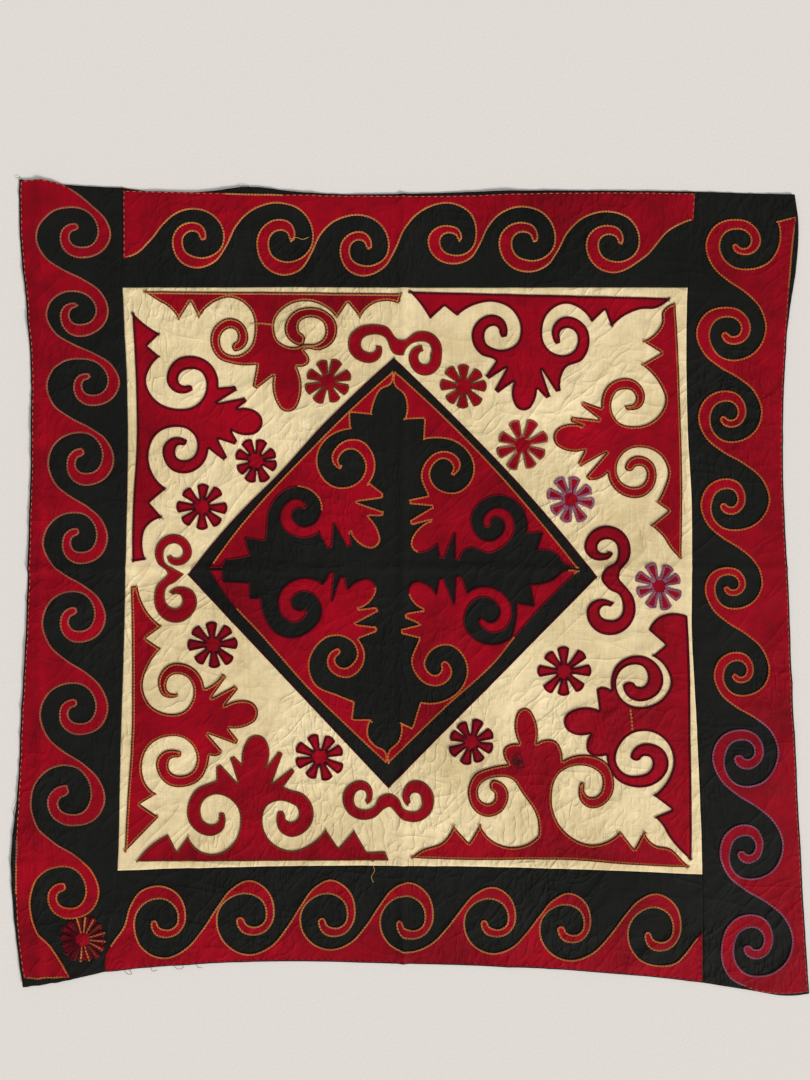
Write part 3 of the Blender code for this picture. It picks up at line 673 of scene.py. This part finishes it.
def flat_size(line: Array) -> tuple[float, float, float]:
    """Smallest box of a cut, turned to any half degree, and the cut's area.

    Where a thin scrolled cut fills less, the length told here is shorter than the true one.

    Args:
        line: outline as (n, 2).

    Returns:
        Width, length and area, in metres.
    """
    area = area_of(line)
    turns = np.radians(np.arange(0, 90, 0.5))
    across = np.ptp(line @ np.stack([np.cos(turns), np.sin(turns)]), axis=0)
    along = np.ptp(line @ np.stack([-np.sin(turns), np.cos(turns)]), axis=0)
    best = int(np.argmin(across * along))
    width, length = sorted((float(across[best]), float(along[best])))
    told = min(length, area / LEAST_SHARE / width)
    if told < length:
        LOG.warning("told %.3f by %.3f m, true box %.3f by %.3f m", width, told, width, length)
    return width, told, area


def make_piece(name: str, points: Array, faces: Array, finish: bpy.types.Material) -> bpy.types.Object:
    """Object at the origin from whole arrays, shaded smooth, with its finish.

    Args:
        name: the piece's name.
        points: vertices as (n, 3).
        faces: triangles as (m, 3).
        finish: its material.

    Returns:
        The object, riding on the only body.
    """
    mesh = bpy.data.meshes.new(name)
    mesh.vertices.add(len(points))
    mesh.vertices.foreach_set("co", np.ascontiguousarray(points, dtype=np.float32).ravel())
    mesh.loops.add(len(faces) * 3)
    mesh.loops.foreach_set("vertex_index", np.ascontiguousarray(faces, dtype=np.int32).ravel())
    mesh.polygons.add(len(faces))
    mesh.polygons.foreach_set("loop_start", np.arange(len(faces), dtype=np.int32) * 3)
    mesh.polygons.foreach_set("use_smooth", np.ones(len(faces), dtype=bool))
    mesh.update(calc_edges=True)
    mesh.validate()
    mesh.materials.append(finish)
    piece = bpy.data.objects.new(name, mesh)
    bpy.context.scene.collection.objects.link(piece)
    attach(piece, "root")
    LOG.info("%s: %d triangles", name, len(faces))
    return piece


@dataclass
class CutSheet:
    """One cut piece of cloth: a thin closed sheet with a turned hem, in place of its CAD node."""

    node: str
    object: bpy.types.Object
    finish: Cotton
    material: bpy.types.Material
    grow: float = 0.0
    line: Array = field(init=False)
    layer: int = field(init=False)

    def __post_init__(self) -> None:
        """Reads the outline and the layer off the CAD node."""
        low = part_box(self.node)[0]
        self.layer = round(low.z / CAD_LAYER)
        self.line = sewn_line(cut_line(self.object))
        if self.grow:
            self.line = self.line + outward(self.line) * self.grow

    @property
    def top(self) -> float:
        """Height of the sheet's face above the lie of the cloth."""
        return self.layer * LAYER_STEP + CLOTH

    def _spread(self) -> Array:
        """Points inside the outline: one ring along the hem, and a grid further in."""
        ring = self.line - outward(self.line) * HEM
        ring = ring[inside(ring, self.line) & (reach_to(ring, self.line) > 0.8 * HEM)]
        low, high = self.line.min(axis=0), self.line.max(axis=0)
        rows = np.arange(low[1], high[1], GRID * 0.866)
        columns = np.arange(low[0], high[0], GRID)
        x, y = np.meshgrid(columns, rows)
        x = x + (np.arange(len(rows)) % 2 * GRID / 2)[:, None]
        grid = np.stack([x.ravel(), y.ravel()], axis=1)
        grid = grid[inside(grid, self.line)]
        return np.concatenate([ring, grid[reach_to(grid, self.line) > 2.0 * HEM]])

    def build(self) -> bpy.types.Object:
        """Fills the outline, rounds its hem and gives it its thickness.

        The face's height is the lie of the cloth plus the layer. It drops over the last HEM of the
        piece, where the cloth is turned under.

        Returns:
            The sheet.
        """
        inner = self._spread()
        count = len(self.line)
        flat = [tuple(point) for point in np.concatenate([self.line, inner])]
        places, _, faces, _, _, _ = delaunay_2d_cdt(flat, [], [list(range(count))], 1, 1e-7, False)
        places = np.array([(p[0], p[1]) for p in places])
        faces = np.array([f for f in faces if len(f) == 3], dtype=np.int64)
        a, b, c = places[faces[:, 0]], places[faces[:, 1]], places[faces[:, 2]]
        flipped = crossed(b - a, c - a) < 0
        faces[flipped] = faces[flipped][:, ::-1]
        wide = np.abs(crossed(b - a, c - a)) > 1e-11
        faces = faces[inside((a + b + c) / 3, self.line) & wide]
        used, faces = np.unique(faces, return_inverse=True)
        places, faces = places[used], faces.reshape(-1, 3)
        n = len(places)
        edges = np.concatenate([faces[:, [0, 1]], faces[:, [1, 2]], faces[:, [2, 0]]])
        rim = edges[~np.isin(edges[:, 0] * n + edges[:, 1], edges[:, 1] * n + edges[:, 0])]
        lie = LIE.height(places[:, 0], places[:, 1])
        upper = np.column_stack([places, lie + self.top])
        lower = np.column_stack([places, lie + self.top - CLOTH])
        edge = np.unique(rim)
        upper[edge, 2] -= HEM_DROP
        lower[edge, 2] += HEM_LIFT
        wall = np.concatenate([np.column_stack([rim[:, 1], rim[:, 0], rim[:, 0] + n]),
                               np.column_stack([rim[:, 1], rim[:, 0] + n, rim[:, 1] + n])])
        piece = make_piece(f"{self.node}_cloth", np.concatenate([upper, lower]),
                           np.concatenate([faces, faces[:, ::-1] + n, wall]), self.material)
        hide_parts(self.node)
        return piece


@dataclass
class StitchBook:
    """Collects the stitches of every thread colour and sews each colour as one piece."""

    runs: dict[tuple[str, Thread], list[Array]] = field(default_factory=dict)
    dashes: dict[tuple[str, Thread], list[Array]] = field(default_factory=dict)
    loose: list[tuple[tuple[str, Thread], Array, Array]] = field(default_factory=list)

    @staticmethod
    def walk(line: Array, pitch: float, closed: bool = True) -> Array:
        """Even places along a line.

        Args:
            line: points as (n, 2).
            pitch: distance between two places.
            closed: whether the last point joins the first.

        Returns:
            Rows of x, y and the unit way onward.
        """
        points = np.concatenate([line, line[:1]]) if closed else line
        gone = np.concatenate([[0], np.cumsum(np.linalg.norm(np.diff(points, axis=0), axis=1))])
        count = max(1, int(gone[-1] / pitch))
        at = np.arange(count) * gone[-1] / count
        ahead = np.minimum(at + 0.9 * pitch, gone[-1])
        here = np.column_stack([np.interp(at, gone, points[:, k]) for k in (0, 1)])
        there = np.column_stack([np.interp(ahead, gone, points[:, k]) for k in (0, 1)])
        return np.column_stack([here, unit(there - here)])

    def add(self, group: str, thread: Thread, steps: Array, top: float, dashed: bool = False) -> None:
        """Keeps stitches for one piece of sewing.

        Args:
            group: which piece the stitches are joined into.
            thread: colour.
            steps: rows of place and way.
            top: height of the cloth's face above its lie.
            dashed: plain running stitches instead of chain.
        """
        if len(steps):
            book = self.dashes if dashed else self.runs
            book.setdefault((group, thread), []).append(
                np.column_stack([steps, np.full(len(steps), top)]))

    def add_loose(self, group: str, thread: Thread, points: Array, top: float) -> None:
        """Keeps one loose end of thread that lies on the cloth.

        Args:
            group: which piece it is joined into.
            thread: colour.
            points: its path as (n, 2), smoothed by a cubic through each run of points.
            top: height of the face that it lies on above the lie of the cloth.
        """
        t = np.linspace(0, len(points) - 1, 6 * len(points))
        low = np.clip(t.astype(int), 0, len(points) - 2)
        part = (t - low)[:, None]
        ends = np.concatenate([2 * points[:1] - points[1:2], points, 2 * points[-1:] - points[-2:-1]])
        a, b, c, d = (ends[low + k] for k in range(4))
        path = 0.5 * (2 * b + (c - a) * part + (2 * a - 5 * b + 4 * c - d) * part ** 2
                      + (3 * b - a - 3 * c + d) * part ** 3)
        centre = np.column_stack([path - path[:1], np.full(len(path), LOOSE_LIFT)])
        step = np.array([[path[0, 0], path[0, 1], 1.0, 0.0, top]])
        self.loose.append(((group, thread), step, centre))

    @staticmethod
    def _shape(steps: Array, centre: Array, closed: bool, thick: float) -> tuple[Array, Array]:
        """Threads of three-cornered section along the same small path at every step.

        A stitch's path is turned to the way of its step and laid on the cloth, and each of its
        points carries a ring of three corners: one to each side and one above.

        Args:
            steps: rows of place, way and height.
            centre: the path's points as (n, 3) along, across and up.
            closed: whether the path returns to its start.
            thick: thread's thickness.

        Returns:
            Points and triangles.
        """
        n = len(centre)
        before = np.roll(centre, 1, axis=0) if closed else centre[np.maximum(np.arange(n) - 1, 0)]
        after = np.roll(centre, -1, axis=0) if closed else centre[np.minimum(np.arange(n) + 1, n - 1)]
        way = unit((after - before)[:, :2])
        side = np.column_stack([-way[:, 1], way[:, 0], np.zeros(n)])
        taper = np.ones(n) if closed else np.where((np.arange(n) % (n - 1)) == 0, 0.45, 1.0)
        half = side * (thick * 0.62 * taper)[:, None]
        crown = np.array([0, 0, 1.0]) * (thick * 0.78 * taper)[:, None]
        ring = np.stack([centre + half, centre + crown, centre - half], axis=1).reshape(-1, 3)
        onward = np.column_stack([steps[:, 2:4], np.zeros(len(steps))])
        leftward = np.column_stack([-steps[:, 3], steps[:, 2], np.zeros(len(steps))])
        flat = (steps[:, None, :2] + ring[None, :, 0:1] * onward[:, None, :2]
                + ring[None, :, 1:2] * leftward[:, None, :2])
        height = LIE.height(flat[..., 0], flat[..., 1]) + steps[:, None, 4] + ring[None, :, 2]
        points = np.concatenate([flat, height[..., None]], axis=2).reshape(-1, 3)
        faces = []
        for index in range(n if closed else n - 1):
            here, there = 3 * index, 3 * ((index + 1) % n)
            for k in range(3):
                m = (k + 1) % 3
                faces += [(here + k, there + k, there + m), (here + k, there + m, here + m)]
        if not closed:
            last = 3 * (n - 1)
            faces += [(0, 1, 2), (last, last + 2, last + 1)]
        pattern = np.array(faces)
        offset = (np.arange(len(steps)) * 3 * n)[:, None, None]
        return points, (pattern[None] + offset).reshape(-1, 3)

    def sew(self, materials: dict[Thread, bpy.types.Material]) -> list[bpy.types.Object]:
        """Makes one piece for every group and thread.

        Args:
            materials: finish of each thread.

        Returns:
            The sewn pieces.
        """
        link = np.array(CHAIN_LOOP) * np.array([CHAIN_LENGTH, CHAIN_HALF_WIDTH, 1.0])
        dash = np.array(DASH_PATH)
        pieces = []
        keys = set(self.runs) | set(self.dashes) | {owner for owner, _, _ in self.loose}
        for key in sorted(keys, key=lambda k: (k[0], k[1].name)):
            points, faces, total = [], [], 0
            for book, centre, closed, thick in ((self.runs, link, True, CHAIN_THREAD),
                                                (self.dashes, dash, False, DASH_THREAD)):
                if key not in book:
                    continue
                some, tris = self._shape(np.concatenate(book[key]), centre, closed, thick)
                points.append(some)
                faces.append(tris + total)
                total += len(some)
            for owner, step, centre in self.loose:
                if owner == key:
                    some, tris = self._shape(step, centre, False, LOOSE_THREAD)
                    points.append(some)
                    faces.append(tris + total)
                    total += len(some)
            pieces.append(make_piece(f"stitches_{key[0]}_{key[1].name.lower()}", np.concatenate(points),
                                     np.concatenate(faces), materials[key[1]]))
        return pieces


def plan_places(steps: Array) -> tuple[Array, Array]:
    """Plan squares of a row of steps."""
    return steps[:, 0] / PLAN_SQUARE + PLAN_MIDDLE[0], PLAN_MIDDLE[1] - steps[:, 1] / PLAN_SQUARE


@dataclass
class Sewing:
    """Sews the outline of every motif in the thread that the real one has there, with dark rows added
    as painted shade of the hems.
    """

    sheets: dict[str, CutSheet]
    book: StitchBook = field(default_factory=StitchBook)
    whole: dict[str, Thread] = field(default_factory=lambda: {
        "horn_top_left": Thread.GOLD, "horn_top_right": Thread.DARK, "horn_left_upper": Thread.DARK,
        "horn_left_lower": Thread.ORANGE, "horn_bottom_left": Thread.OLIVE,
        "horn_bottom_right": Thread.ORANGE, "horn_right_upper": Thread.ORANGE,
        "horn_right_lower": Thread.DARK, "double_curl_top": Thread.OLIVE,
        "double_curl_left": Thread.OLIVE, "double_curl_right": Thread.DARK,
        "double_curl_bottom": Thread.OLIVE, "diamond": Thread.DARK,
        "rosette_top_left": Thread.OLIVE, "rosette_top_right": Thread.OLIVE,
        "rosette_upper_right": Thread.BROWN, "rosette_mid_right": Thread.LILAC,
        "rosette_right": Thread.LILAC})

    @staticmethod
    def _steps(sheet: CutSheet, inset: float = STITCH_INSET) -> Array:
        """Even steps along a sheet's outline, set in from its edge."""
        return StitchBook.walk(sheet.line - outward(sheet.line) * inset, CHAIN_PITCH)

    def motifs(self) -> None:
        """Horns, curls, rosettes and the diamond's rim.

        Dark and lilac outlines have two rows side by side; the doubled dark rows are partly dark thread
        and partly painted shade of the turned hem. A gold or orange row has a dark one outside it,
        which is painted shade of the hem beside the bright thread.
        """
        for name, sheet in self.sheets.items():
            if name.startswith(("field", "border", "wave", "diamond_horn")):
                continue
            group = name.split("_")[0]
            thread = self.whole.get(name, Thread.DARK)
            painted_shade_outside = thread in (Thread.GOLD, Thread.ORANGE)
            # Painted shade: gold and orange outlines get a dark outer row for the shaded hem, and dark
            # outlines a second dark row, partly real thread and partly painted shade.
            self.book.add(group, Thread.DARK if painted_shade_outside else thread, self._steps(sheet), sheet.top)
            twice = painted_shade_outside or thread in (Thread.DARK, Thread.LILAC)
            if twice and name != "rosette_corner":
                self.book.add(group, thread, self._steps(sheet, SECOND_INSET), sheet.top)

    def diamond_horns(self) -> None:
        """Orange on the base and beside the upright arm of the dark cross, dark beside the other."""
        for name, sheet in self.sheets.items():
            if not name.startswith("diamond_horn"):
                continue
            steps = self._steps(sheet)
            x, y = plan_places(steps)
            margin = WIDE_RIM if name.endswith("down_right") else RIM
            base = reach_to(steps[:, :2], self.sheets["diamond"].line) < margin
            level = np.abs(y - DIAMOND_MIDDLE[1]) < np.abs(x - DIAMOND_MIDDLE[0]) * 0.95
            dark = level & ~base
            self.book.add("diamond", Thread.DARK, steps[dark], sheet.top)
            self.book.add("diamond", Thread.ORANGE, steps[~dark], sheet.top)

    def waves(self) -> None:
        """Chain along the scrolls, and running stitches beside the cloth's outer edge."""
        for side in ("top", "bottom", "left", "right"):
            sheet, panel = self.sheets[f"wave_{side}"], self.sheets[f"border_{side}"]
            steps = self._steps(sheet)
            hem = reach_to(steps[:, :2], panel.line) < EDGE_REACH
            scroll = steps[~hem]
            down = plan_places(scroll)[1]
            if side == "left":
                low = down > LEFT_CHANGE
                self.book.add("left", Thread.ORANGE, scroll[low], sheet.top)
                self.book.add("left", Thread.BROWN, scroll[~low], sheet.top)
            elif side == "right":
                low = down > RIGHT_CHANGE
                self.book.add("right", Thread.LILAC, scroll[low], sheet.top)
                self.book.add("right", Thread.ORANGE, scroll[~low], sheet.top)
            else:
                self.book.add(side, Thread.GOLD, scroll, sheet.top)
            edge = steps[hem][::2]
            thread = Thread.DARK if side == "bottom" else Thread.BROWN
            self.book.add(side, thread, edge, sheet.top, dashed=True)

    def corner_rosette(self) -> None:
        """Radial rows of chain on the petals of the rosette at the lower left corner."""
        sheet = self.sheets["rosette_corner"]
        x, y = on_plan(84, 938)
        threads = (Thread.GOLD, Thread.ORANGE, Thread.OLIVE, Thread.ORANGE)
        for index in range(16):
            turn = -math.radians(6 + 22.5 * index)
            way = np.array([math.cos(turn), math.sin(turn)])
            at = np.array([0.008, 0.012, 0.016, 0.020, 0.024])
            rows = np.array([x, y]) + at[:, None] * way
            steps = np.column_stack([rows, np.tile(way, (len(at), 1))])
            thread = threads[index % 4] if way[0] > -0.3 else Thread.DARK
            self.book.add("corner", thread, steps, sheet.top)

    def short_rows(self) -> None:
        """Two short rows that cross the stems of two horns."""
        for name, points in (("horn_top_left", ((250.5, 325), (262, 324), (274, 325.5))),
                             ("horn_right_lower", ((629.7, 708), (631, 718), (632, 730)))):
            line = np.array([on_plan(*point) for point in points])
            steps = StitchBook.walk(line, CHAIN_PITCH, closed=False)
            self.book.add("horn", Thread.GOLD, steps, self.sheets[name].top)


# Loose ends of thread: the piece that each is joined into, its colour, what it lies on, and its plan
LOOSE_ENDS = (
    ("top", Thread.GOLD, "wave_top", ((291, 240), (297, 238.5), (303, 240.5), (309, 238.5))),
    ("bottom", Thread.GOLD, "border_bottom", ((373, 864), (374.5, 870), (371.5, 876), (373.5, 882))),
    ("bottom", Thread.DARK, "field", ((367, 857), (373, 853), (377, 857), (372, 861), (369, 855))),
    ("horn", Thread.DARK, "horn_bottom_right",
     ((511, 757), (518, 753), (522, 761), (514, 764), (513, 757))),
    ("horn", Thread.DARK, "horn_bottom_right", ((514, 765), (520, 760), (524, 766), (517, 768))),
    ("bottom", Thread.DARK, "ground", ((124, 966), (127, 972), (132, 973), (130, 968))),
    ("bottom", Thread.DARK, "ground", ((150, 963), (153, 970), (158, 969))),
    ("bottom", Thread.DARK, "ground", ((171, 961), (178, 968), (184, 966), (181, 962))),
    ("bottom", Thread.DARK, "ground", ((196, 960), (198, 966), (203, 967))),
    ("left", Thread.DARK, "ground", ((24, 183), (21, 178), (16, 179))),
    ("top", Thread.DARK, "ground", ((236, 192), (243, 187), (251, 188), (256, 192))),
    ("left", Thread.DARK, "ground", ((18, 800), (14.5, 810), (16, 820))),
)


@dataclass
class Hanging:
    """The whole cloth: ground panels, motifs and sewing."""

    nodes: dict[str, bpy.types.Object]
    sheets: dict[str, CutSheet] = field(default_factory=dict)

    def lay_sheets(self) -> None:
        finishes = {"cream": CREAM, "black": BLACK, "crimson": CRIMSON}
        materials = {key: finish.make() for key, finish in finishes.items()}
        for name in sorted(self.nodes):
            key, grow = self._cloth_of(name)
            sheet = CutSheet(name, self.nodes[name], finishes[key], materials[key], grow)
            self.sheets[name] = sheet
            sheet.build()
        for name, sheet in self.sheets.items():
            width, length, area = flat_size(sheet.line)

    @staticmethod
    def _cloth_of(name: str) -> tuple[str, float]:
        """Key of a sheet's cotton, and how far the sheet is drawn out past its node."""
        if name == "field":
            return "cream", SEAM_LAP
        if name.startswith("border"):
            return "black", SEAM_LAP
        if name == "diamond":
            return "black", 0.0
        return "crimson", ROSETTE_EASE if name.startswith("rosette") else 0.0

    @staticmethod
    def _under(name: str) -> list[str]:
        """Names of the sheets that a sheet is sewn on."""
        if name.startswith(("field", "border")):
            return []
        if name.startswith("wave"):
            return [name.replace("wave", "border")]
        if name.startswith("diamond_horn"):
            return ["diamond"]
        return ["wave_left"] if name == "rosette_corner" else ["field"]

    def sew(self) -> None:
        """Adds all the stitches."""
        sewing = Sewing(self.sheets)
        sewing.motifs()
        sewing.diamond_horns()
        sewing.waves()
        sewing.corner_rosette()
        sewing.short_rows()
        for group, thread, name, points in LOOSE_ENDS:
            top = self.sheets[name].top if name in self.sheets else FLOOR_THREAD
            places = np.array([on_plan(*point) for point in points])
            sewing.book.add_loose(group, thread, places, top)
        sewing.book.sew({thread: floss.make() for thread, floss in FLOSSES.items()})


@dataclass
class Studio:
    """Floor, light and the camera at the photograph's place."""

    middle: tuple[float, float] = (405.0, 540.0)
    focal_px: float = 811.0
    height: float = 1.014
    window: float = 3.3
    elevation: float = 29.0
    bearing: float = 40.0

    def floor(self) -> None:
        """Plain pale floor just under the cloth."""
        mesh = bpy.data.meshes.new("floor")
        corners = [(x * FLOOR_HALF, y * FLOOR_HALF, FLOOR_LEVEL)
                   for x, y in ((-1, -1), (1, -1), (1, 1), (-1, 1))]
        mesh.from_pydata(corners, [], [(0, 1, 2, 3)])
        mesh.materials.append(PaleFloor().make())
        floor = bpy.data.objects.new("floor", mesh)
        bpy.context.scene.collection.objects.link(floor)

    def light(self) -> None:
        """Low soft light from the upper left, as from a tall window, and a pale surround."""
        lamp = bpy.data.lights.new("window", "SUN")
        lamp.energy = self.window
        lamp.angle = math.radians(14)
        lamp.color = (1.0, 0.955, 0.89)
        item = bpy.data.objects.new("window", lamp)
        item.rotation_euler = (math.radians(90 - self.elevation), 0.0, math.radians(self.bearing))
        bpy.context.scene.collection.objects.link(item)
        world = bpy.data.worlds.new("surround")
        world.use_nodes = True
        world.node_tree.nodes["Background"].inputs[0].default_value = (1.0, 0.97, 0.945, 1)
        world.node_tree.nodes["Background"].inputs[1].default_value = 0.50
        bpy.context.scene.world = world

    def camera(self) -> None:
        """Camera straight above, with the photograph's field of view."""
        lens = bpy.data.cameras.new("camera")
        lens.sensor_fit = "VERTICAL"
        lens.sensor_height = 24.0
        lens.lens = 24.0 * self.focal_px / PHOTO_SIZE[1]
        lens.clip_start = 0.05
        item = bpy.data.objects.new("camera", lens)
        item.location = (*on_plan(*self.middle), self.height)
        bpy.context.scene.collection.objects.link(item)
        bpy.context.scene.camera = item

    def set_up(self) -> None:
        """Makes all of it."""
        self.floor()
        self.light()
        self.camera()
        bpy.context.scene.view_settings.view_transform = "Standard"


def main() -> None:
    """Builds the hanging in its studio."""
    logging.basicConfig(level=logging.INFO, format="%(message)s")
    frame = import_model()
    Studio().set_up()
    hanging = Hanging(frame["nodes"])
    hanging.lay_sheets()
    hanging.sew()


if __name__ == "__main__":
    main()
